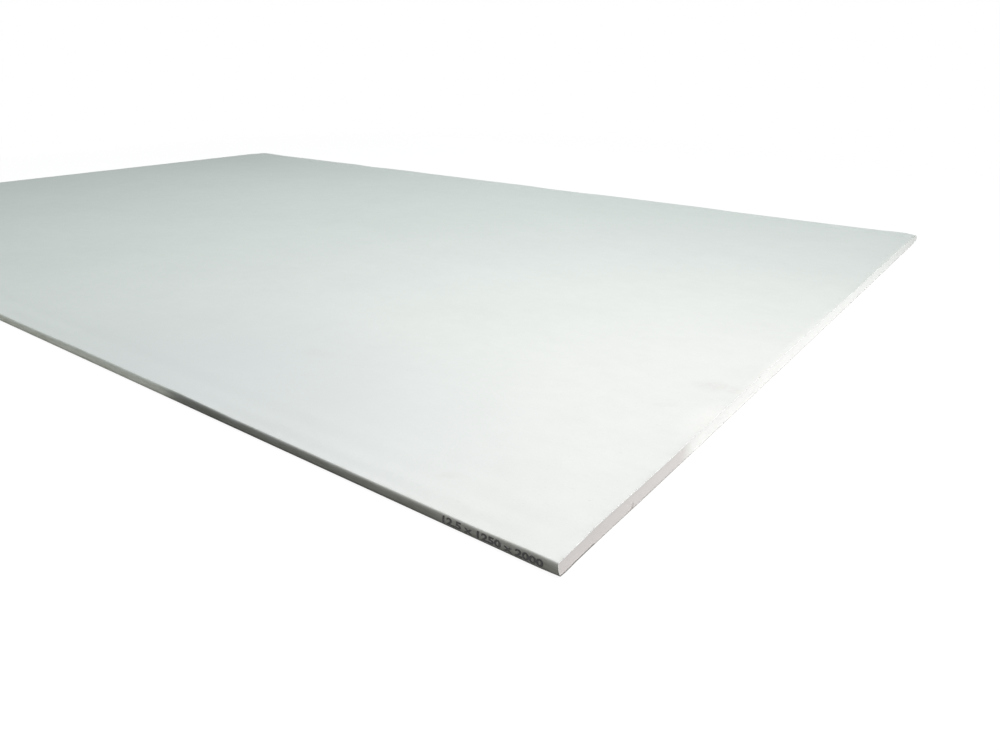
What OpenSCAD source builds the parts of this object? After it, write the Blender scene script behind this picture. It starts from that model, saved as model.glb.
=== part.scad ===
// Drywall sheet: a paper-lined gypsum board lying on its back, face up.
// Its long edges taper towards the face and are rounded, and its ends are sawn square.
// X runs along the sheet, Y across it, and Z up through its thickness from the back.

/* [Sheet] */
// Length of the sheet between its sawn ends
sheet_length = 2000; // [900:50:3600]
// Width of the sheet over its long edges
sheet_width = 1250; // [600:10:1300]
// Thickness of the sheet between its tapered margins
sheet_thickness = 12.5; // [9.5:0.5:18]

/* [Long edges] */
// Width of the tapered margin along each long edge
taper_width = 45; // [40:1:80]
// Drop of the face across the tapered margin
taper_depth = 1.2; // [0.6:0.1:2.5]
// Radius of the rounding between the face and a long edge
face_arris = 2; // [0.5:0.5:4]
// Radius of the rounding between the back and a long edge
back_arris = 1.5; // [0.5:0.5:2.5]

/* [Finish] */
// Colour of the face paper
paper_colour = "#E4E8E5"; // [#E4E8E5:white, #C9CCC6:grey, #BFD8C4:green]

/* [Hidden] */
$fn = 96;

half_width = sheet_width / 2;
edge_height = sheet_thickness - taper_depth;

// Centre of each rounding on one long edge, one radius inside the surfaces that it joins
face_arris_centre = [half_width - face_arris, edge_height - face_arris];
back_arris_centre = [half_width - back_arris, back_arris];

// Outline of one long edge, from the back to the start of the taper, notched where it is rounded
edge_outline = [
    [back_arris_centre.x, 0],
    back_arris_centre,
    [half_width, back_arris_centre.y],
    [half_width, face_arris_centre.y],
    face_arris_centre,
    [face_arris_centre.x, edge_height],
    [half_width - taper_width, sheet_thickness]
];

// The other long edge's outline, from the start of the taper to the back
function across(outline) = [for (i = [len(outline) - 1 : -1 : 0]) [-outline[i].x, outline[i].y]];

// A quarter of a disc that fills the notch of a rounding
module rounding(centre, radius, turn) {
    translate(centre)
        rotate(turn)
            intersection() {
                circle(radius);
                square(2 * radius);
            }
}

module cross_section() {
    polygon(concat(edge_outline, across(edge_outline)));
    for (side = [1, -1]) {
        rounding([side * face_arris_centre.x, face_arris_centre.y], face_arris, 45 - 45 * side);
        rounding([side * back_arris_centre.x, back_arris_centre.y], back_arris, 225 + 45 * side);
    }
}

module drywall_sheet() {
    color(paper_colour)
        rotate([90, 0, 90])
            linear_extrude(sheet_length, center = true)
                cross_section();
}

drywall_sheet();
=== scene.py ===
import bmesh
import bpy
import math
import numpy as np
from mathutils import Matrix, Vector


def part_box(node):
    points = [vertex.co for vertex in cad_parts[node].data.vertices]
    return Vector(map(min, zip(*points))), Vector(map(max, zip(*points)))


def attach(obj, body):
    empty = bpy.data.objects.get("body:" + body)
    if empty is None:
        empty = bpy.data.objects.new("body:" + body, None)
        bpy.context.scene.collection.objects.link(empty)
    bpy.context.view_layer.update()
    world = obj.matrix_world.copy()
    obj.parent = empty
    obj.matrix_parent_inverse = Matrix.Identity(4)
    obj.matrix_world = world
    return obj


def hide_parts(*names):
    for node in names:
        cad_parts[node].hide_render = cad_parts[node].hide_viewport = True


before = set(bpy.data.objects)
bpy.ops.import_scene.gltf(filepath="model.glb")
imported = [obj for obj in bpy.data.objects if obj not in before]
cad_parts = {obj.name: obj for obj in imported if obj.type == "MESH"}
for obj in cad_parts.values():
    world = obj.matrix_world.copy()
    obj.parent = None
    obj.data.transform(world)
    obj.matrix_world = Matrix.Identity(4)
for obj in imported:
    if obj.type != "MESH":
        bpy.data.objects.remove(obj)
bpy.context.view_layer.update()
boardLow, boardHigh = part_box("drywall_sheet")
print("frame loaded, board box", tuple(boardLow), tuple(boardHigh))


# Lined board: the whole sheet as one closed skin, sizes in metres

board = {
    "length": boardHigh[0] - boardLow[0],
    "width": boardHigh[1] - boardLow[1],
    "thickness": boardHigh[2] - boardLow[2],
    "taperFrom": 0.052,       # the face starts to fall this far from a long edge
    "taperTo": 0.028,         # and is down by here
    "taperDepth": 0.0012,     # drop of the face across the margin
    "crownAt": 0.0052,        # height at which a long edge is widest
    "faceArris": 0.0021,      # how far the edge turns in under the face
    "backArris": 0.0009,      # and above the back
    "edgePower": 2.2,         # 2 is an ellipse, more is squarer
    "dip": 0.0009,            # the margin also dips at its rim, away from the sawn ends
    "dipWaver": 0.0008,       # by an amount that wavers along the board
    "dipPitch": 0.080,
    "dipSeed": 1622,
    "dipOver": (0.0, 0.09),   # it fades in between these distances from a sawn end
    "dipRim": (0.020, 0.005),  # and between these from a long edge
    "faceLiner": 0.00055,     # paper seen edge-on at the sawn ends
    "backLiner": 0.00045,
    "lapLiner": 0.0011,       # back paper over the folded face paper
    "lapWidth": 0.046,        # how far the face paper folds under the back
    "lapStep": 0.00025,       # the back paper's edge stands this proud
    "lapGap": 0.0002,         # and steps down over this width
    "coreRecess": 0.00025,    # the core stands this far behind the cut paper
    "lineGap": 0.00006,       # and steps back over this width
    "edgeWaver": 0.00012,     # sideways waver of the long edges
    "edgePitch": 0.21,
    "edgeRows": 12,           # rows above and below the widest height
    "columnStep": 0.0031,
    "marginFrom": 0.002,      # closer columns start this far short of the taper
    "marginColumns": 28,
    "nickReach": 0.006,       # the closest columns lie this far either side of the first nick
    "nickColumns": 17,
    "endStations": (0, 0.0004, 0.001, 0.002, 0.0035, 0.006, 0.010, 0.016, 0.025, 0.040),
    "middleFrom": 0.065,      # even stations between these distances from an end
    "middleTo": 0.97,
    "middleStations": 25,
    "hair": 1e-5,             # slack when rows and columns are compared
    "cutWear": 0.004,         # reach of the handling wear from a sawn end
    "sideWear": 0.003,        # and from a long edge
    "sharpAngle": 32,         # degrees at which the shading breaks
    "seed": 41,
}

# Nicks in a sawn end: place across the board, height, half width, half height, depth
nearNicks = [
    (-0.5207, 0.0023, 0.0030, 0.0022, 0.0019),
    (-0.2630, 0.0022, 0.0021, 0.0012, 0.0014),
    (0.1710, 0.0017, 0.0030, 0.0011, 0.0016),
    (0.4420, 0.0094, 0.0024, 0.0010, 0.0012),
]
farNicks = [
    (-0.4310, 0.0019, 0.0034, 0.0013, 0.0018),
    (-0.0870, 0.0091, 0.0026, 0.0011, 0.0013),
    (0.2240, 0.0016, 0.0022, 0.0010, 0.0015),
    (0.5360, 0.0023, 0.0029, 0.0014, 0.0020),
]

# Bruised corners: end (1 near, -1 far), side, reach along the end, reach along the board,
# drop of the face, lift of the back, push in from the side, push in from the end
bruises = [
    (1, 1, 0.030, 0.036, 0.0020, 0.0, 0.0050, 0.0010),
    (-1, 1, 0.016, 0.012, 0.0007, 0.0004, 0.0010, 0.0008),
    (-1, -1, 0.020, 0.015, 0.0009, 0.0003, 0.0014, 0.0010),
    (1, -1, 0.012, 0.019, 0.0006, 0.0006, 0.0003, 0.0004),
]
bruiseShape = {
    "falloff": 1.3,           # over 1 keeps the push close to the corner
    "unevenness": 0.35,
    "unevenPitch": (0.006, 0.005),
    "dropPower": 1.6,         # over 1 leaves the drop to the rows under the face
    "liftPower": 2,
    "pushPower": 1.5,
    "pushShare": (0.7, 0.3),  # even share, and the share that grows towards the face
}

# Cut out of square: how far the back stands out past the face at the low-y corner and on from it,
# and how far the cut stands in from a square end, with a hollow at one place
nearSlant = {
    "atCorner": 0.0020,
    "rise": 0.0006,
    "riseOver": (0.10, 0.30),
    "fall": 0.0010,
    "fallOver": (0.85, 1.25),
    "standIn": 0.0003,
    "hollow": 0.0005,
    "hollowAt": 0.050,
    "hollowReach": 0.050,
    "cornerReach": 0.025,
}
farSlant = {
    "atCorner": 0.0004,
    "rise": 0.0005,
    "riseOver": (0.10, 0.90),
    "fall": 0.0,
    "fallOver": (0.90, 1.25),
    "standIn": 0.0,
    "hollow": 0.0003,
    "hollowAt": 0.80,
    "hollowReach": 0.30,
    "cornerReach": 0.10,
}


noiseKnots = {
    "line": 4096,
    "lineStart": 2048.0,      # the knot that lies at zero
    "plane": (1024, 64),
    "planeStart": (512.0, 16.0),
}


# Noise along a line: random knots an even pitch apart, joined by a smooth step
def lineNoise(at, pitch, seed):
    count = noiseKnots["line"]
    knots = np.random.default_rng(seed).uniform(-1.0, 1.0, count)
    place = np.asarray(at) / pitch + noiseKnots["lineStart"]
    cell = np.floor(place).astype(int)
    t = place - cell
    t = t * t * (3.0 - 2.0 * t)
    return knots[cell % count] * (1.0 - t) + knots[(cell + 1) % count] * t


# Noise over a plane: the same smooth step taken in both directions between a square of knots
def planeNoise(u, v, pitch, seed):
    countU, countV = noiseKnots["plane"]
    startU, startV = noiseKnots["planeStart"]
    knots = np.random.default_rng(seed).uniform(-1.0, 1.0, (countU, countV))
    placeU = np.asarray(u) / pitch[0] + startU
    placeV = np.asarray(v) / pitch[1] + startV
    cellU = np.floor(placeU).astype(int)
    cellV = np.floor(placeV).astype(int)
    tu = placeU - cellU
    tv = placeV - cellV
    tu = tu * tu * (3.0 - 2.0 * tu)
    tv = tv * tv * (3.0 - 2.0 * tv)
    lowU, highU = cellU % countU, (cellU + 1) % countU
    lowV, highV = cellV % countV, (cellV + 1) % countV
    low = knots[lowU, lowV] * (1 - tu) + knots[highU, lowV] * tu
    high = knots[lowU, highV] * (1 - tu) + knots[highU, highV] * tu
    return low * (1 - tv) + high * tv


# Smooth step from 0 to 1 as a value goes from one limit to the other
def ease(value, start, end):
    t = np.clip((value - start) / (end - start), 0.0, 1.0)
    return t * t * (3.0 - 2.0 * t)


# Heights of the rows up a long edge: even angles of a squared ellipse above and below its widest height,
# and a pair of rows at each paper line so that the core can step back from the paper
def boardRows(b):
    top = b["thickness"] - b["taperDepth"]
    turn = np.sin(np.radians(np.linspace(0, 90, b["edgeRows"]))) ** (2 / b["edgePower"])
    lowRows = b["crownAt"] * (1 - turn)
    highRows = b["crownAt"] + (top - b["crownAt"]) * turn
    lines = np.array([b["backLiner"], b["lapLiner"], top - b["faceLiner"]])
    coreSide = np.array([1, 1, -1])
    rows = np.concatenate([lowRows, highRows, lines, lines + b["lineGap"] * coreSide])
    return np.unique(np.round(rows, 7))


# How far a long edge stands in from the full width at a height: a quarter of a squared ellipse up to
# the face and another down to the back
def edgeInset(b, height):
    top = b["thickness"] - b["taperDepth"]
    above = np.clip((height - b["crownAt"]) / (top - b["crownAt"]), 0, 1)
    below = np.clip((b["crownAt"] - height) / b["crownAt"], 0, 1)
    power = b["edgePower"]
    faceSide = b["faceArris"] * (1 - (1 - above**power) ** (1 / power))
    backSide = b["backArris"] * (1 - (1 - below**power) ** (1 / power))
    return faceSide + backSide


# Thickness of the board across its width: full in the middle, a smooth fall to a thinner margin at each
# long edge, and at the rim of that margin a further dip that wavers along the board
def boardThickness(b, across, along):
    inFrom = b["width"] / 2 - np.abs(across)
    margin = b["taperDepth"] * ease(-inFrom, -b["taperFrom"], -b["taperTo"])
    away = ease(b["length"] / 2 - np.abs(along), *b["dipOver"])
    dip = away * (b["dip"] + b["dipWaver"] * lineNoise(along, b["dipPitch"], b["dipSeed"]))
    return b["thickness"] - margin - dip * ease(-inFrom, -b["dipRim"][0], -b["dipRim"][1])


# Columns across the board: even steps in the middle, closer ones in the margins, at the paper lines and
# at the first nick
def boardColumns(b):
    half = b["width"] / 2
    breakAt = half - b["taperFrom"] - b["marginFrom"]
    lapAt = half - b["lapWidth"]
    nickAt = nearNicks[0][0]
    middle = np.linspace(-breakAt, breakAt, int(round(2 * breakAt / b["columnStep"])))
    margin = np.linspace(breakAt, half, b["marginColumns"])
    pairs = np.array([b["faceLiner"], b["faceLiner"] + b["lineGap"]])
    sides = np.concatenate([margin, half - pairs, [lapAt, lapAt - b["lapGap"]]])
    nick = np.linspace(nickAt - b["nickReach"], nickAt + b["nickReach"], b["nickColumns"])
    return np.unique(np.round(np.concatenate([middle, sides, -sides, nick]), 7))


# Stations along the board: close together at the sawn ends and far apart in the middle
def boardStations(b):
    middle = np.linspace(b["middleFrom"], b["middleTo"], b["middleStations"])
    inFrom = np.concatenate([b["endStations"], middle])
    half = b["length"] / 2
    return np.concatenate([inFrom - half, (half - inFrom)[::-1]])


# Sawn core: depths, and pitches across and up
sawnCore = {
    "stroke": 0.00007,              # upright knife strokes
    "strokePitch": 0.0063,
    "wave": 0.00006,                # slow unevenness
    "wavePitch": (0.0105, 0.009),
    "crumble": 0.00008,
    "crumblePitch": (0.0037, 0.0013),
    "pores": 150,
    "poreFoot": 0.0012,             # pores keep this far from the back
    "poreHead": 0.0022,             # and this far from the face
    "poreWide": (0.0009, 0.0024),   # least and most half width, half height and depth
    "poreHigh": (0.0004, 0.0009),
    "poreDeep": (0.0002, 0.0007),
    "bowlPower": 0.7,               # under 1 makes a bowl steeper at its rim
}


# How far the sawn core stands back from the cut: an even recess, upright knife strokes, slow waves,
# crumble, random pores and the named nicks, the last two as shallow bowls
def coreDepth(b, c, across, height, nicks, seed):
    depth = b["coreRecess"] + c["stroke"] * lineNoise(across, c["strokePitch"], seed)
    depth = depth + c["wave"] * planeNoise(across, height, c["wavePitch"], seed + 1)
    depth = depth + c["crumble"] * planeNoise(across, height, c["crumblePitch"], seed + 2)
    rng = np.random.default_rng(seed + 3)
    half = b["width"] / 2
    pores = np.column_stack([
        rng.uniform(-half, half, c["pores"]),
        rng.uniform(c["poreFoot"], b["thickness"] - c["poreHead"], c["pores"]),
        rng.uniform(*c["poreWide"], c["pores"]),
        rng.uniform(*c["poreHigh"], c["pores"]),
        rng.uniform(*c["poreDeep"], c["pores"]),
    ])
    for y, z, halfWidth, halfHeight, deep in [*pores, *nicks]:
        reach = ((across - y) / halfWidth) ** 2 + ((height - z) / halfHeight) ** 2
        depth = np.maximum(depth, deep * np.clip(1.0 - reach, 0, 1) ** c["bowlPower"])
    return depth


# How far the back stands out past the face along a cut: a rise from one corner, a fall towards the other
def cutSlant(b, across, s):
    place = across + b["width"] / 2
    rise = s["rise"] * ease(place, *s["riseOver"])
    fall = s["fall"] * ease(place, *s["fallOver"])
    return s["atCorner"] + rise - fall


# How far a cut stands in from a square end: an even amount and a bell-shaped hollow, both from nothing
# at the corner
def cutHollow(b, across, s):
    place = across + b["width"] / 2
    bell = np.exp(-(((place - s["hollowAt"]) / s["hollowReach"]) ** 2))
    return (s["standIn"] + s["hollow"] * bell) * ease(place, 0.0, s["cornerReach"])


# Ids of the skin's points in a block of stations, columns and rows, and its six sides as quads turned
# outwards
def skinQuads(shape):
    onSkin = np.zeros(shape, bool)
    onSkin[[0, -1], :, :] = True
    onSkin[:, [0, -1], :] = True
    onSkin[:, :, [0, -1]] = True
    ids = np.cumsum(onSkin.ravel()).reshape(shape) - 1

    def quads(grid, turned):
        a, b, c, d = grid[:-1, :-1], grid[1:, :-1], grid[1:, 1:], grid[:-1, 1:]
        order = (a, d, c, b) if turned else (a, b, c, d)
        return np.stack(order, -1).reshape(-1, 4)

    sides = {
        "face": quads(ids[:, :, -1], False),
        "back": quads(ids[:, :, 0], True),
        "leftEdge": quads(ids[:, 0, :], False),
        "rightEdge": quads(ids[:, -1, :], True),
        "farEnd": quads(ids[0], True),
        "nearEnd": quads(ids[-1], False),
    }
    return onSkin, sides


# Cut paper at a sawn end: how far it stands out, tears and curls, and the pitch of each
cutPaper = {
    "leanReach": 0.020,       # the cut's lean fades into the board over this
    "faceBurr": 0.00016,
    "faceBurrPitch": 0.013,
    "backBurr": 0.00014,
    "backBurrPitch": 0.017,
    "burrShare": (0.4, 0.6),  # even share and wavering share
    "tear": 0.0004,
    "tearPitch": 0.031,
    "tearOver": 0.55,         # torn where the noise is above this
    "tearHeight": 0.002,      # and down to this far under the face
    "curl": 0.00014,
    "curlPitch": 0.023,
    "fineCurl": 0.00007,
    "fineCurlPitch": 0.0072,
    "curlReach": 0.0022,
    "curlFrom": 0.75,         # share of the height at which it starts
}


# The board's skin: each row's outline is drawn across the width, the rows fill the tapered thickness,
# and the sawn ends, paper burrs and bruised corners move points of that block
def makeBoard(b, core, paper, bruise):
    x = boardStations(b)
    y = boardColumns(b)
    h = boardRows(b)
    half = b["width"] / 2
    top = b["thickness"] - b["taperDepth"]
    lapAt = half - b["lapWidth"]
    lapSlack = b["lapGap"] / 2
    along, column, height = np.meshgrid(x, y, h, indexing="ij")
    across = column * (half - edgeInset(b, height)) / half
    share = height / top
    up = share * boardThickness(b, across, along)

    # the long edges waver a little, and the folded face paper sits behind the back paper's edge
    waver = b["edgeWaver"] * lineNoise(along, b["edgePitch"], b["seed"]) * (np.abs(column) / half) ** 8
    across = across + np.sign(column) * waver
    up = up + b["lapStep"] * (np.abs(column) > lapAt + lapSlack) * (1 - share) ** 3

    # masks of the core on a sawn end: inside the paper lines all round
    backLine = np.where(np.abs(column) > lapAt - lapSlack, b["lapLiner"], b["backLiner"])
    faceLine = top - b["faceLiner"]
    inCore = (height > backLine + b["hair"]) & (height < faceLine - b["hair"])
    inCore &= np.abs(column) < half - b["faceLiner"] - b["hair"]

    # sawn ends
    evenBurr, waveBurr = paper["burrShare"]
    for end, nicks, slant, seed in (
        (1, nearNicks, nearSlant, b["seed"] + 10),
        (-1, farNicks, farSlant, b["seed"] + 30),
    ):
        cap = -1 if end > 0 else 0
        fromEnd = b["length"] / 2 - end * along
        lean = cutSlant(b, across, slant) * (0.5 - share) - cutHollow(b, across, slant)
        along = along + end * lean * np.exp(-fromEnd / paper["leanReach"])
        yCap = across[cap]
        hCap = height[cap]
        depth = coreDepth(b, core, yCap, up[cap], nicks, seed) * inCore[cap]
        faceBurr = evenBurr + waveBurr * lineNoise(yCap, paper["faceBurrPitch"], seed + 5)
        backBurr = evenBurr + waveBurr * lineNoise(yCap, paper["backBurrPitch"], seed + 6)
        burr = paper["faceBurr"] * faceBurr * (hCap > faceLine - b["hair"])
        burr = burr + paper["backBurr"] * backBurr * (hCap < backLine[cap] + b["hair"])
        tear = np.clip(lineNoise(yCap, paper["tearPitch"], seed + 7) - paper["tearOver"], 0, 1)
        torn = paper["tear"] * tear * (hCap > top - paper["tearHeight"])
        along[cap] = along[cap] + end * (burr - depth - torn)
        # the cut paper curls up and down along the face side
        curl = paper["curl"] * lineNoise(across, paper["curlPitch"], seed + 8)
        curl = curl + paper["fineCurl"] * lineNoise(across, paper["fineCurlPitch"], seed + 9)
        up = up + curl * np.exp(-fromEnd / paper["curlReach"]) * ease(share, paper["curlFrom"], 1.0)

    # bruised corners
    evenPush, facePush = bruise["pushShare"]
    for end, side, reachAcross, reachAlong, drop, lift, sidePush, endPush in bruises:
        fromEnd = np.clip(b["length"] / 2 - end * along, 0, None)
        fromSide = np.clip(half - side * across, 0, None)
        nearSide = np.clip(1 - fromSide / reachAcross, 0, 1) ** bruise["falloff"]
        nearEnd = np.clip(1 - fromEnd / reachAlong, 0, 1) ** bruise["falloff"]
        push = nearSide * nearEnd
        dents = planeNoise(across, along, bruise["unevenPitch"], b["seed"] + 60)
        uneven = 1 + bruise["unevenness"] * dents
        up = up - drop * push * uneven * share ** bruise["dropPower"]
        up = up + lift * push * (1 - share) ** bruise["liftPower"]
        inwards = push ** bruise["pushPower"]
        upper = evenPush + facePush * share
        along = along - end * endPush * inwards * upper
        across = across - side * sidePush * inwards * upper

    up = np.clip(up, 0, None)
    onSkin, sides = skinQuads(along.shape)
    points = np.stack([along, across, up], -1)[onSkin]

    # finish of each quad: its number in the board's list of materials
    facePart, backPart, corePart, lapAndShadePart = range(4)
    midColumn = (np.abs(y[1:]) + np.abs(y[:-1])) / 2
    midRow = (h[1:] + h[:-1]) / 2
    lapColumn = midColumn > lapAt
    backFinish = np.where(midColumn > lapAt + lapSlack, facePart, backPart)
    capFinish = np.full((y.size - 1, h.size - 1), corePart)
    capFinish[:, midRow > faceLine] = facePart
    capFinish[midColumn > half - b["faceLiner"], :] = facePart
    capFinish[:, midRow < b["backLiner"]] = backPart
    # on the low-y side the bottom rows of the cut ends take the darker lapped paper, partly painted shade
    capFinish[np.ix_(lapColumn & (y[1:] < 0), midRow < b["lapLiner"])] = lapAndShadePart
    capFinish[np.ix_(lapColumn & (y[1:] > 0), midRow < b["lapLiner"])] = facePart
    finishes = {
        "face": np.full(len(sides["face"]), facePart),
        "back": np.tile(backFinish, x.size - 1),
        "leftEdge": np.full(len(sides["leftEdge"]), facePart),
        "rightEdge": np.full(len(sides["rightEdge"]), facePart),
        "farEnd": capFinish.ravel(),
        "nearEnd": capFinish.ravel(),
    }
    quads = np.concatenate(list(sides.values()))
    finish = np.concatenate([finishes[name] for name in sides])

    # share of handling wear: close to a sawn end, or on a rounded long edge
    cutAt = b["length"] / 2 - np.abs(along[onSkin])
    sideAt = half - np.abs(across[onSkin])
    wear = np.maximum(np.exp(-cutAt / b["cutWear"]), np.exp(-sideAt / b["sideWear"]))
    return points, quads, finish, wear


# Puts arrays of points and quads into a mesh object at the origin
def quadObject(name, points, quads):
    mesh = bpy.data.meshes.new(name)
    mesh.vertices.add(len(points))
    mesh.vertices.foreach_set("co", points.astype(np.float32).ravel())
    mesh.loops.add(quads.size)
    mesh.loops.foreach_set("vertex_index", quads.astype(np.int32).ravel())
    mesh.polygons.add(len(quads))
    mesh.polygons.foreach_set("loop_start", np.arange(0, quads.size, 4, dtype=np.int32))
    mesh.update(calc_edges=True)
    mesh.validate()
    piece = bpy.data.objects.new(name, mesh)
    bpy.context.scene.collection.objects.link(piece)
    return piece


# Materials

# Adds a node, sets its properties, and fills its inputs with values or links
def addNode(tree, kind, settings=None, inputs=None):
    node = tree.nodes.new(kind)
    for name, value in (settings or {}).items():
        setattr(node, name, value)
    for name, value in (inputs or {}).items():
        socket = node.inputs[name]
        if isinstance(value, bpy.types.NodeSocket):
            tree.links.new(value, socket)
        else:
            socket.default_value = value
    return node


# One arithmetic step between two values
def mathStep(tree, operation, first, second=0.0):
    return addNode(tree, "ShaderNodeMath", {"operation": operation}, {0: first, 1: second}).outputs[0]


# A value carried from one range to another, held at the ends
def rangeStep(tree, value, fromLow, fromHigh, toLow, toHigh, kind="LINEAR"):
    settings = {"interpolation_type": kind, "clamp": True}
    inputs = {
        "Value": value,
        "From Min": fromLow,
        "From Max": fromHigh,
        "To Min": toLow,
        "To Max": toHigh,
    }
    return addNode(tree, "ShaderNodeMapRange", settings, inputs).outputs[0]


# Two colours mixed by a share
def mixStep(tree, share, first, second, blend="MIX"):
    node = addNode(tree, "ShaderNodeMix", {"data_type": "RGBA", "blend_type": blend})
    for index, value in ((0, share), (6, first), (7, second)):
        if isinstance(value, bpy.types.NodeSocket):
            tree.links.new(value, node.inputs[index])
        else:
            node.inputs[index].default_value = value
    return node.outputs[2]


# A plain colour made lighter or darker by a shade around 1
def shadeStep(tree, colour, shade):
    grey = addNode(tree, "ShaderNodeCombineColor", {}, {"Red": shade, "Green": shade, "Blue": shade})
    return mixStep(tree, 1.0, (*colour, 1), grey.outputs[0], "MULTIPLY")


# Cloudy noise on object coordinates, stretched by a scale for each axis
def noiseStep(tree, coords, scale, detail, roughness, move):
    place = {"Vector": coords, "Location": move, "Scale": scale}
    mapped = addNode(tree, "ShaderNodeMapping", {}, place)
    inputs = {"Vector": mapped.outputs[0], "Scale": 1.0, "Detail": detail, "Roughness": roughness}
    return addNode(tree, "ShaderNodeTexNoise", {}, inputs).outputs["Fac"]


# Fine relief from a height, put on the shader's normal
def reliefStep(tree, shader, height, strength, depth):
    inputs = {"Height": height, "Strength": strength, "Distance": depth}
    bump = addNode(tree, "ShaderNodeBump", {}, inputs)
    tree.links.new(bump.outputs[0], shader.inputs["Normal"])


# Starts a material and hands back what its nodes hang on
def newFinish(name, colour):
    material = bpy.data.materials.new(name)
    material.use_nodes = True
    material.diffuse_color = (*colour, 1)
    tree = material.node_tree
    shader = tree.nodes["Principled BSDF"]
    coords = addNode(tree, "ShaderNodeTexCoord").outputs["Object"]
    return material, tree, shader, coords


# Noises of a finish are a scale on each axis, detail, roughness and offset
# Shades and shares are the noise, height or distance from and to, then the value at each
facePaper = {
    "colour": (0.800, 0.820, 0.812),
    "worn": (0.640, 0.640, 0.610),
    # long edges: partly grime, partly painted shade
    "edgeGrimeAndShade": (0.396, 0.396, 0.352),
    # painted shade at the foot of the long edges
    "footShadeColour": (0.260, 0.260, 0.235),
    "smudgeColour": (0.700, 0.690, 0.670),
    "dustColour": (0.915, 0.912, 0.895),
    # painted shade along the near margin
    "marginShadeColour": (0.683, 0.718, 0.741),
    "cloud": ((2.6, 2.6, 2.6), 3.0, 0.55, (0, 0, 0)),
    "mottle": ((11, 15, 15), 3.0, 0.55, (5, 3, 0)),
    "blotch": ((46, 60, 60), 4.0, 0.6, (3, 1, 0)),
    "fibre": ((420, 1500, 1500), 3.0, 0.6, (7, 2, 0)),
    "fleck": ((260, 760, 760), 1.0, 0.4, (1, 9, 0)),
    "crumble": ((210, 210, 210), 4.0, 0.65, (0, 0, 0)),
    "scuff": ((90, 90, 240), 4.0, 0.65, (5, 5, 1)),
    "grimeAndShade": ((38, 38, 300), 5.0, 0.65, (2, 6, 3)),
    "cloudShade": (0.3, 0.7, -0.012, 0.012),
    "mottleShade": (0.3, 0.7, -0.009, 0.009),
    "blotchShade": (0.25, 0.75, -0.014, 0.014),
    "fibreShade": (0.25, 0.75, -0.020, 0.016),
    "fleckShade": (0.70, 0.78, 0.0, 0.05),
    "smudgeShare": (0.34, 0.66, 0.25, 1.0),
    "dustShare": (0.34, 0.66, 0.55, 1.0),
    "scuffShare": (0.38, 0.68, 0.0, 0.55),
    "grimeAndShadeShare": (0.3, 0.72, 0.35, 0.90),
    "footShadeShare": (0.0008, 0.0044, 0.75, 0.0),
    "grimeAndShadeDepth": 0.0018,         # grime and painted shade start this far in from the full width
    "roughOver": (0.25, 0.75),
    "roughness": (0.78, 0.90),
    "specular": 0.10,
    "blotchRelief": 0.8,          # against the fibre's
    "bump": 0.5,
    "fibreRelief": 0.00004,
}

# Smudges on the face: place, half length, half width, turn in degrees, strength
smudges = [
    (0.969, -0.288, 0.029, 0.0220, 35, 0.46),
    (0.990, -0.287, 0.016, 0.0140, 35, 0.40),
    (0.985, -0.232, 0.040, 0.0350, 35, 0.16),
    (0.948, -0.360, 0.018, 0.0080, 35, 0.30),
    (0.577, -0.471, 0.030, 0.0160, 10, 0.30),
    (0.694, -0.584, 0.022, 0.0100, -15, 0.25),
    (0.866, -0.584, 0.016, 0.0080, 30, 0.28),
    (0.977, -0.548, 0.0016, 0.0012, 0, 0.80),
    (0.933, -0.594, 0.0015, 0.0013, 0, 0.70),
    (0.926, -0.606, 0.0014, 0.0011, 0, 0.70),
]

# Plaster dust on the face by the near cut, with the same values
dustPatches = [
    (1.000, -0.365, 0.034, 0.0700, 0, 0.50),
    (1.000, -0.110, 0.011, 0.3300, 0, 0.66),
    (1.000, 0.420, 0.010, 0.2600, 0, 0.60),
]

# Painted shade: greyer paper along the near margin, where the light falls off, with the same values
marginShadePatches = [
    (0.560, -0.600, 0.460, 0.3000, 0, 0.50),
]
patchMiddle = 0.15                # a patch has its full strength out to this share of its reach


# Share of a surface that lies in any of a list of soft-edged ellipses on the face
def patchShare(tree, coords, patches, faceHeight):
    covered = None
    for x, y, halfLength, halfWidth, turn, strength in patches:
        place = addNode(tree, "ShaderNodeMapping", {"vector_type": "TEXTURE"}, {
            "Vector": coords,
            "Location": (x, y, faceHeight),
            "Rotation": (0, 0, math.radians(turn)),
            "Scale": (halfLength, halfWidth, halfLength),
        })
        reach = addNode(tree, "ShaderNodeVectorMath", {"operation": "LENGTH"}, {0: place.outputs[0]})
        patch = rangeStep(tree, reach.outputs["Value"], patchMiddle, 1.0, strength, 0.0, "SMOOTHSTEP")
        covered = patch if covered is None else mathStep(tree, "MAXIMUM", covered, patch)
    return covered
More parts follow.
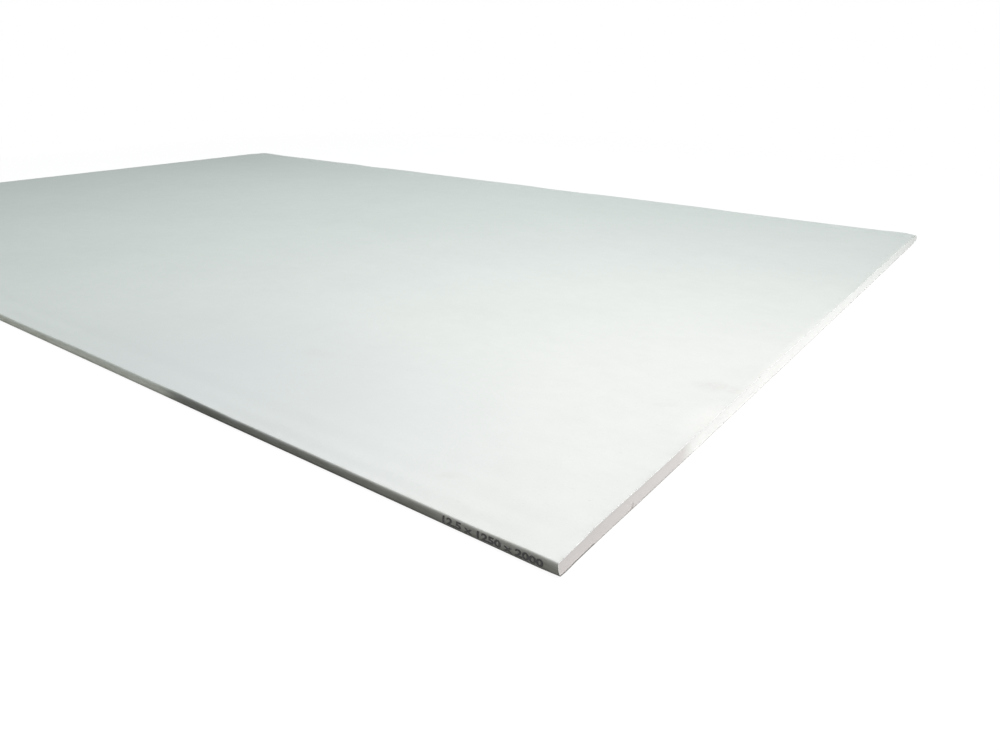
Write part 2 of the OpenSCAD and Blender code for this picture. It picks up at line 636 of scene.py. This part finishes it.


# Face paper: a pale sheet with clouds, fine fibre along the board, flecks, smudges, dust and worn edges,
# long edges darkened by grime and painted shade, and painted shade along the near margin and at the foot
# of the long edges
def makeFacePaper(p, b):
    material, tree, shader, coords = newFinish("face_paper", p["colour"])
    cloud = noiseStep(tree, coords, *p["cloud"])
    mottle = noiseStep(tree, coords, *p["mottle"])
    blotch = noiseStep(tree, coords, *p["blotch"])
    fibre = noiseStep(tree, coords, *p["fibre"])
    fleck = noiseStep(tree, coords, *p["fleck"])

    shade = mathStep(tree, "ADD", rangeStep(tree, cloud, *p["cloudShade"]), 1.0)
    shade = mathStep(tree, "ADD", shade, rangeStep(tree, mottle, *p["mottleShade"]))
    shade = mathStep(tree, "ADD", shade, rangeStep(tree, blotch, *p["blotchShade"]))
    shade = mathStep(tree, "ADD", shade, rangeStep(tree, fibre, *p["fibreShade"]))
    shade = mathStep(tree, "SUBTRACT", shade, rangeStep(tree, fleck, *p["fleckShade"]))
    colour = shadeStep(tree, p["colour"], shade)

    # painted shade: the greyer stretch by the margin
    marginShaded = patchShare(tree, coords, marginShadePatches, b["thickness"])
    colour = mixStep(tree, marginShaded, colour, (*p["marginShadeColour"], 1))

    # smudges, broken up by noise
    crumble = noiseStep(tree, coords, *p["crumble"])
    soiled = patchShare(tree, coords, smudges, b["thickness"])
    soiled = mathStep(tree, "MULTIPLY", soiled, rangeStep(tree, crumble, *p["smudgeShare"]))
    colour = mixStep(tree, soiled, colour, (*p["smudgeColour"], 1))

    # wear where the paper is cut or rounded, grime with painted shade on the long edges, and painted shade
    # at their foot
    wear = addNode(tree, "ShaderNodeAttribute", {"attribute_name": "wear"}).outputs["Fac"]
    scuff = rangeStep(tree, noiseStep(tree, coords, *p["scuff"]), *p["scuffShare"])
    colour = mixStep(tree, mathStep(tree, "MULTIPLY", wear, scuff), colour, (*p["worn"], 1))
    axes = addNode(tree, "ShaderNodeSeparateXYZ", {}, {0: coords}).outputs
    half = b["width"] / 2
    side = rangeStep(tree, mathStep(tree, "ABSOLUTE", axes["Y"]), half - p["grimeAndShadeDepth"], half, 0, 1)
    # the long edges darkened partly by grime and partly by painted shade
    grimeAndShade = rangeStep(tree, noiseStep(tree, coords, *p["grimeAndShade"]), *p["grimeAndShadeShare"])
    colour = mixStep(tree, mathStep(tree, "MULTIPLY", side, grimeAndShade), colour, (*p["edgeGrimeAndShade"], 1))
    # painted shade: darker towards the foot of the long edges
    footShade = rangeStep(tree, axes["Z"], *p["footShadeShare"], "SMOOTHSTEP")
    colour = mixStep(tree, mathStep(tree, "MULTIPLY", side, footShade), colour, (*p["footShadeColour"], 1))

    # dust over all of it
    dusted = patchShare(tree, coords, dustPatches, b["thickness"])
    dusted = mathStep(tree, "MULTIPLY", dusted, rangeStep(tree, crumble, *p["dustShare"]))
    colour = mixStep(tree, dusted, colour, (*p["dustColour"], 1))
    tree.links.new(colour, shader.inputs["Base Color"])

    rough = rangeStep(tree, blotch, *p["roughOver"], *p["roughness"])
    tree.links.new(rough, shader.inputs["Roughness"])
    shader.inputs["Specular IOR Level"].default_value = p["specular"]
    relief = mathStep(tree, "ADD", fibre, mathStep(tree, "MULTIPLY", blotch, p["blotchRelief"]))
    reliefStep(tree, shader, relief, p["bump"], p["fibreRelief"])
    return material


backPaper = {
    "colour": (0.430, 0.420, 0.395),
    "paleFibre": (0.560, 0.550, 0.520),
    "darkFibre": (0.270, 0.265, 0.255),
    # darker lapped paper, partly painted shade at the foot of the cut
    "lapColourAndShade": (0.215, 0.212, 0.200),
    "cloud": ((5, 9, 9), 4.0, 0.6, (4, 4, 4)),
    "fibre": ((260, 1300, 1300), 4.0, 0.65, (2, 8, 1)),
    "pale": ((150, 900, 900), 2.0, 0.5, (9, 1, 4)),
    "dark": ((190, 760, 760), 2.0, 0.5, (1, 3, 7)),
    "cloudShade": (0.3, 0.7, 0.93, 1.06),
    "fibreShade": (0.25, 0.75, -0.09, 0.09),
    "paleShare": (0.62, 0.74, 0, 0.55),
    "darkShare": (0.63, 0.75, 0, 0.6),
    "roughOver": (0.3, 0.7),
    "roughness": (0.78, 0.92),
    "specular": 0.18,
    "bump": 0.6,
    "fibreRelief": 0.00008,
}


# Back paper: grey recycled liner with pale and dark fibres lying along the board, in the colour given
def makeBackPaper(p, name, colour):
    material, tree, shader, coords = newFinish(name, colour)
    cloud = noiseStep(tree, coords, *p["cloud"])
    fibre = noiseStep(tree, coords, *p["fibre"])
    pale = rangeStep(tree, noiseStep(tree, coords, *p["pale"]), *p["paleShare"])
    dark = rangeStep(tree, noiseStep(tree, coords, *p["dark"]), *p["darkShare"])
    shade = rangeStep(tree, cloud, *p["cloudShade"])
    shade = mathStep(tree, "ADD", shade, rangeStep(tree, fibre, *p["fibreShade"]))
    tinted = shadeStep(tree, colour, shade)
    tinted = mixStep(tree, pale, tinted, (*p["paleFibre"], 1))
    tinted = mixStep(tree, dark, tinted, (*p["darkFibre"], 1))
    tree.links.new(tinted, shader.inputs["Base Color"])
    rough = rangeStep(tree, cloud, *p["roughOver"], *p["roughness"])
    tree.links.new(rough, shader.inputs["Roughness"])
    shader.inputs["Specular IOR Level"].default_value = p["specular"]
    reliefStep(tree, shader, fibre, p["bump"], p["fibreRelief"])
    return material


gypsumCore = {
    "colour": (0.778, 0.775, 0.762),
    "pale": (0.868, 0.866, 0.852),
    # painted shade in the open pores
    "poreShade": (0.520, 0.500, 0.480),
    "cornerShade": (0.580, 0.541, 0.536),
    "cornerShadeShare": (0.95, 0.78),
    "cornerShadeFrom": (-0.440, -0.404),     # painted shade: greyer near one corner, clean beyond
    "wander": 0.02,                      # how far that limit moves about
    "footShade": (0.420, 0.400, 0.390),       # and darker there at its foot, a painted shade
    "footShadeShare": (0.0004, 0.0014, 0.7, 0.0),
    "cloud": ((60, 24, 60), 4.0, 0.6, (6, 2, 2)),
    "grain": ((1500, 1500, 1500), 3.0, 0.6, (1, 1, 5)),
    "chosen": ((300, 300, 300), 1.0, 0.5, (4, 7, 7)),   # where pores are open
    "cloudShare": (0.3, 0.7, 0, 0.5),
    "grainShare": (0.56, 0.72, 0, 0.5),
    "chosenShare": (0.52, 0.60, 0, 1),
    "poreScale": 620.0,
    "poreReach": (0.10, 0.34, 1.0, 0.0),
    "poreShare": 0.7,
    "roughOver": (0.3, 0.7),
    "roughness": (0.86, 0.97),
    "specular": 0.15,
    "grainRelief": 0.6,                  # against the pores'
    "bump": 0.7,
    "poreRelief": 0.00015,
}


# Gypsum core: pale set plaster with fine air pores darkened by painted shade, paler grains, and a greyer
# stretch of painted shade by one corner, darker still at its foot
def makeGypsumCore(p, b):
    material, tree, shader, coords = newFinish("gypsum_core", p["colour"])
    cloud = noiseStep(tree, coords, *p["cloud"])
    grain = noiseStep(tree, coords, *p["grain"])
    cells = {"Vector": coords, "Scale": p["poreScale"]}
    pores = addNode(tree, "ShaderNodeTexVoronoi", {"feature": "F1"}, cells)
    poreShade = rangeStep(tree, pores.outputs["Distance"], *p["poreReach"], "SMOOTHSTEP")
    chosen = rangeStep(tree, noiseStep(tree, coords, *p["chosen"]), *p["chosenShare"])
    poreShade = mathStep(tree, "MULTIPLY", poreShade, chosen)
    cloudy = rangeStep(tree, cloud, *p["cloudShare"])
    grainy = rangeStep(tree, grain, *p["grainShare"])
    colour = mixStep(tree, cloudy, (*p["colour"], 1), (*p["pale"], 1))
    colour = mixStep(tree, grainy, colour, (*p["pale"], 1))

    # painted shade: the greyer stretch, greyest at the corner
    axes = addNode(tree, "ShaderNodeSeparateXYZ", {}, {0: coords}).outputs
    wander = mathStep(tree, "MULTIPLY", mathStep(tree, "SUBTRACT", cloud, 0.5), p["wander"])
    place = mathStep(tree, "ADD", axes["Y"], wander)
    cornerShade = rangeStep(tree, place, *p["cornerShadeFrom"], 1.0, 0.0, "SMOOTHSTEP")
    cornerShadeShare = rangeStep(tree, place, -b["width"] / 2, p["cornerShadeFrom"][0], *p["cornerShadeShare"])
    cornerShade = mathStep(tree, "MULTIPLY", cornerShade, cornerShadeShare)
    colour = mixStep(tree, cornerShade, colour, (*p["cornerShade"], 1))
    # painted shade at the foot of the cut, within the shaded stretch
    footShade = rangeStep(tree, axes["Z"], *p["footShadeShare"], "SMOOTHSTEP")
    colour = mixStep(tree, mathStep(tree, "MULTIPLY", footShade, cornerShade), colour, (*p["footShade"], 1))

    # painted shade darkens the open pores
    openPoreShade = mathStep(tree, "MULTIPLY", poreShade, p["poreShare"])
    colour = mixStep(tree, openPoreShade, colour, (*p["poreShade"], 1))
    tree.links.new(colour, shader.inputs["Base Color"])
    rough = rangeStep(tree, grain, *p["roughOver"], *p["roughness"])
    tree.links.new(rough, shader.inputs["Roughness"])
    shader.inputs["Specular IOR Level"].default_value = p["specular"]
    relief = mathStep(tree, "SUBTRACT", mathStep(tree, "MULTIPLY", grain, p["grainRelief"]), poreShade)
    reliefStep(tree, shader, relief, p["bump"], p["poreRelief"])
    return material


edgeInk = {
    "colour": (0.045, 0.045, 0.048),
    "thin": (0.200, 0.200, 0.195),
    "patch": ((900, 900, 900), 3.0, 0.6, (2, 2, 2)),
    "thinShare": (0.48, 0.72, 0, 0.8),
    "roughOver": (0.3, 0.7),
    "roughness": (0.55, 0.75),
}


# Edge ink: near-black print that thins out over the paper's fibres
def makeEdgeInk(p):
    material, tree, shader, coords = newFinish("edge_ink", p["colour"])
    patch = noiseStep(tree, coords, *p["patch"])
    thin = rangeStep(tree, patch, *p["thinShare"])
    colour = mixStep(tree, thin, (*p["colour"], 1), (*p["thin"], 1))
    tree.links.new(colour, shader.inputs["Base Color"])
    rough = rangeStep(tree, patch, *p["roughOver"], *p["roughness"])
    tree.links.new(rough, shader.inputs["Roughness"])
    return material


points, quads, finish, wear = makeBoard(board, sawnCore, cutPaper, bruiseShape)
linedBoard = quadObject("lined_board", points, quads)
boardMesh = linedBoard.data
for boardFinish in (
    makeFacePaper(facePaper, board),
    makeBackPaper(backPaper, "back_paper", backPaper["colour"]),
    makeGypsumCore(gypsumCore, board),
    # the lapped paper is darker than the back paper, partly painted shade
    makeBackPaper(backPaper, "lapped_paper_and_shade", backPaper["lapColourAndShade"]),
):
    boardMesh.materials.append(boardFinish)
boardMesh.polygons.foreach_set("material_index", finish.astype(np.int32))
boardMesh.polygons.foreach_set("use_smooth", np.ones(len(quads), bool))
boardMesh.attributes.new("wear", "FLOAT", "POINT").data.foreach_set("value", wear.astype(np.float32))
boardMesh.set_sharp_from_angle(angle=math.radians(board["sharpAngle"]))
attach(linedBoard, "root")
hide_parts("drywall_sheet")
print("lined board made,", len(points), "points,", len(quads), "quads")


# Size mark: plain numbers printed on one long edge

sizeMark = {
    "words": "12.5 x 1250 x 2000",
    "start": 0.8965,          # along the board
    "end": 0.9875,
    "bottom": 0.0024,         # up the long edge
    "top": 0.0084,
    "proud": 0.00018,
    "depth": 0.00030,
    "boldness": 0.034,
    "slab": 0.01,             # thickness of the text before it is fitted
    "curveSteps": 4,
    "weld": 0.0001,
    "bands": 9,
}


# The mark's outlines as a closed mesh: text is filled and made a thin slab, cut into level bands, and
# each axis of its box is carried to a span on the board's long edge, where the bands follow its outline
def makeSizeMark(m, b):
    text = bpy.data.curves.new("size_text", "FONT")
    text.body = m["words"]
    text.extrude = m["slab"]
    text.offset = m["boldness"]
    text.resolution_u = m["curveSteps"]
    holder = bpy.data.objects.new("size_text", text)
    bpy.context.scene.collection.objects.link(holder)
    bpy.context.view_layer.update()
    shown = holder.evaluated_get(bpy.context.evaluated_depsgraph_get())
    mesh = bpy.data.meshes.new_from_object(shown)
    bpy.data.objects.remove(holder)
    bpy.data.curves.remove(text)
    mesh.name = "size_mark"
    flat = np.empty(len(mesh.vertices) * 3, np.float32)
    mesh.vertices.foreach_get("co", flat)
    levels = np.linspace(flat[1::3].min(), flat[1::3].max(), m["bands"] + 1)[1:-1]

    work = bmesh.new()
    work.from_mesh(mesh)
    bmesh.ops.remove_doubles(work, verts=work.verts, dist=m["weld"])
    for level in levels:
        geometry = [*work.verts, *work.edges, *work.faces]
        plane = {"plane_co": (0, level, 0), "plane_no": (0, 1, 0)}
        bmesh.ops.bisect_plane(work, geom=geometry, dist=m["weld"], **plane)
    bmesh.ops.triangulate(work, faces=work.faces)
    bmesh.ops.recalc_face_normals(work, faces=work.faces)
    work.to_mesh(mesh)
    work.free()

    flat = np.empty(len(mesh.vertices) * 3, np.float32)
    mesh.vertices.foreach_get("co", flat)
    flat = flat.reshape(-1, 3)
    share = (flat - flat.min(0)) / np.ptp(flat, 0)
    up = m["bottom"] + share[:, 1] * (m["top"] - m["bottom"])
    along = m["start"] + share[:, 0] * (m["end"] - m["start"])
    rim = boardThickness(b, np.full(len(along), b["width"] / 2), along)
    height = up * (b["thickness"] - b["taperDepth"]) / rim
    face = edgeInset(b, height) - b["width"] / 2 - m["proud"]
    placed = np.column_stack([
        along,
        face + (1 - share[:, 2]) * m["depth"],
        up,
    ])
    mesh.vertices.foreach_set("co", placed.astype(np.float32).ravel())
    mesh.update()
    piece = bpy.data.objects.new("size_mark", mesh)
    bpy.context.scene.collection.objects.link(piece)
    return piece


markPiece = makeSizeMark(sizeMark, board)
markPiece.data.materials.append(makeEdgeInk(edgeInk))
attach(markPiece, "root")
print("size mark made,", len(markPiece.data.polygons), "faces")


# Floor, world, lamps and camera

floor = {
    "reach": 60.0,
    "glow": (0.93, 0.93, 0.93),       # what the camera sees of it, before its share of light and shadow
    "shadowShare": (0.12, 0.12, 0.12),
    "bounce": (0.085, 0.080, 0.068),  # what lights the board from below
    "fade": (1.2, 2.2),               # plain white beyond this distance
}


# Share of rays that see the plain background: camera, glossy and transmission rays
def backgroundRays(tree):
    path = addNode(tree, "ShaderNodeLightPath").outputs
    seen = mathStep(tree, "MAXIMUM", path["Is Camera Ray"], path["Is Glossy Ray"])
    return mathStep(tree, "MAXIMUM", seen, path["Is Transmission Ray"])


# Floor: one square of four corners, pale where it is seen and duller where it only reflects light
def makeFloor(f):
    r = f["reach"]
    corners = np.array([(-r, -r, 0), (r, -r, 0), (r, r, 0), (-r, r, 0)], float)
    piece = quadObject("pale_floor", corners, np.array([[0, 1, 2, 3]]))
    material = bpy.data.materials.new("pale_floor")
    material.use_nodes = True
    tree = material.node_tree
    tree.nodes.clear()
    coords = addNode(tree, "ShaderNodeTexCoord").outputs["Object"]
    far = addNode(tree, "ShaderNodeVectorMath", {"operation": "LENGTH"}, {0: coords}).outputs["Value"]
    white = addNode(tree, "ShaderNodeEmission", {}, {"Color": (1, 1, 1, 1), "Strength": 1.0})
    glow = addNode(tree, "ShaderNodeEmission", {}, {"Color": (*f["glow"], 1), "Strength": 1.0})
    lit = addNode(tree, "ShaderNodeBsdfDiffuse", {}, {"Color": (*f["shadowShare"], 1)})
    near = addNode(tree, "ShaderNodeAddShader", {}, {0: glow.outputs[0], 1: lit.outputs[0]})
    fade = rangeStep(tree, far, *f["fade"], 0.0, 1.0, "SMOOTHSTEP")
    shown = addNode(tree, "ShaderNodeMixShader", {}, {0: fade, 1: near.outputs[0], 2: white.outputs[0]})
    bounce = addNode(tree, "ShaderNodeBsdfDiffuse", {}, {"Color": (*f["bounce"], 1)})
    mixed = addNode(tree, "ShaderNodeMixShader", {}, {
        0: backgroundRays(tree), 1: bounce.outputs[0], 2: shown.outputs[0]})
    addNode(tree, "ShaderNodeOutputMaterial", {}, {"Surface": mixed.outputs[0]})
    material.cycles.emission_sampling = "NONE"  # its glow lights nothing, so no ray is spent on it
    piece.data.materials.append(material)
    return piece


makeFloor(floor)

sky = {"colour": (0.124, 0.148, 0.144)}


# World: plain white to the camera and in reflections, a weak cool light to everything else
def makeSky(s):
    world = bpy.data.worlds.new("studio")
    world.use_nodes = True
    tree = world.node_tree
    tree.nodes.clear()
    soft = addNode(tree, "ShaderNodeBackground", {}, {"Color": (*s["colour"], 1), "Strength": 1.0})
    white = addNode(tree, "ShaderNodeBackground", {}, {"Color": (1, 1, 1, 1), "Strength": 1.0})
    mixed = addNode(tree, "ShaderNodeMixShader", {}, {
        0: backgroundRays(tree), 1: soft.outputs[0], 2: white.outputs[0]})
    addNode(tree, "ShaderNodeOutputWorld", {}, {"Surface": mixed.outputs[0]})
    bpy.context.scene.world = world


makeSky(sky)

# Lamps: place, point aimed at, size across and up, power, colour, spread in degrees
stripHeight = 0.006               # middle of the strip lamps that stand on the floor
stripSize = 0.010
lamps = {
    "top_lamp": {
        "at": (0.435, 0.19, 2.80), "aim": (0.435, 0.19, 0), "size": (1.0, 1.0),
        "power": 53.5, "colour": (0.945, 1.0, 0.975), "spread": 180,
    },
    "corner_lamp": {
        "at": (1.03, -0.29, 0.80), "aim": (1.03, -0.29, 0), "size": (0.30, 0.30),
        "power": 2.58, "colour": (1.0, 0.86, 0.865), "spread": 180,
    },
    "front_lamp": {
        "at": (1.00, -0.90, 0.45), "aim": (1.00, -0.90, 0), "size": (0.20, 0.20),
        "power": 0.56, "colour": (1.0, 0.885, 0.86), "spread": 180,
    },
    "low_lamp": {
        "at": (1.85, -0.10, stripHeight), "aim": (1.0, -0.10, stripHeight), "size": (1.84, stripSize),
        "power": 10.6, "colour": (0.98, 0.995, 0.99), "spread": 170,
    },
    "edge_lamp": {
        "at": (-0.24, -0.650, stripHeight), "aim": (-0.24, -0.625, stripHeight), "size": (1.54, stripSize),
        "power": 0.0765, "colour": (0.97, 1.0, 0.93), "spread": 160,
    },
    "far_lamp": {
        "at": (-1.85, 0.0, stripHeight), "aim": (-1.0, 0.0, stripHeight), "size": (1.8, stripSize),
        "power": 8.0, "colour": (1.0, 0.99, 0.98), "spread": 170,
    },
    "back_lamp": {
        "at": (0.0, 1.45, stripHeight), "aim": (0.0, 0.625, stripHeight), "size": (1.9, stripSize),
        "power": 3.56, "colour": (1.0, 1.0, 0.97), "spread": 170,
    },
}


# A lamp that looks from its place to the point that it is aimed at
def makeLamp(name, values):
    light = bpy.data.lights.new(name, "AREA")
    light.shape = "RECTANGLE"
    light.size, light.size_y = values["size"]
    light.energy = values["power"]
    light.color = values["colour"]
    light.spread = math.radians(values["spread"])
    lamp = bpy.data.objects.new(name, light)
    bpy.context.scene.collection.objects.link(lamp)
    lamp.location = values["at"]
    beam = Vector(values["aim"]) - Vector(values["at"])
    lamp.rotation_euler = beam.to_track_quat("-Z", "Y").to_euler()
    lamp.visible_camera = False
    lamp.visible_glossy = False


for lampName, lampValues in lamps.items():
    makeLamp(lampName, lampValues)

camera = {
    "at": (1.2154, -0.9696, 0.3235),
    "yaw": 36.06,              # degrees left of +Y
    "pitch": 23.69,            # degrees below the horizon
    "roll": -0.36,
    "focalPixels": 744.6,      # in a frame 1000 wide and 750 high
    "middle": (517.1, 379.6),  # pixel on the lens axis
    "frame": (1000, 750),
    "sensor": 36.0,
    "clip": (0.01, 200),
}


# Camera: turned by yaw, pitch and roll in that order, with the lens and the small shift of its frame
def makeCamera(c):
    lens = bpy.data.cameras.new("photo_camera")
    lens.sensor_fit = "HORIZONTAL"
    lens.sensor_width = c["sensor"]
    wide, high = c["frame"]
    lens.lens = c["focalPixels"] * c["sensor"] / wide
    lens.shift_x = (wide / 2 - c["middle"][0]) / wide
    lens.shift_y = (c["middle"][1] - high / 2) / wide
    lens.clip_start, lens.clip_end = c["clip"]
    piece = bpy.data.objects.new("photo_camera", lens)
    bpy.context.scene.collection.objects.link(piece)
    yaw = Matrix.Rotation(math.radians(c["yaw"]), 4, "Z")
    pitch = Matrix.Rotation(math.radians(90 - c["pitch"]), 4, "X")
    roll = Matrix.Rotation(math.radians(-c["roll"]), 4, "Z")
    piece.matrix_world = Matrix.Translation(c["at"]) @ yaw @ pitch @ roll
    bpy.context.scene.camera = piece


makeCamera(camera)
bpy.context.scene.view_settings.view_transform = "Standard"
print("stage, lamps and camera made")
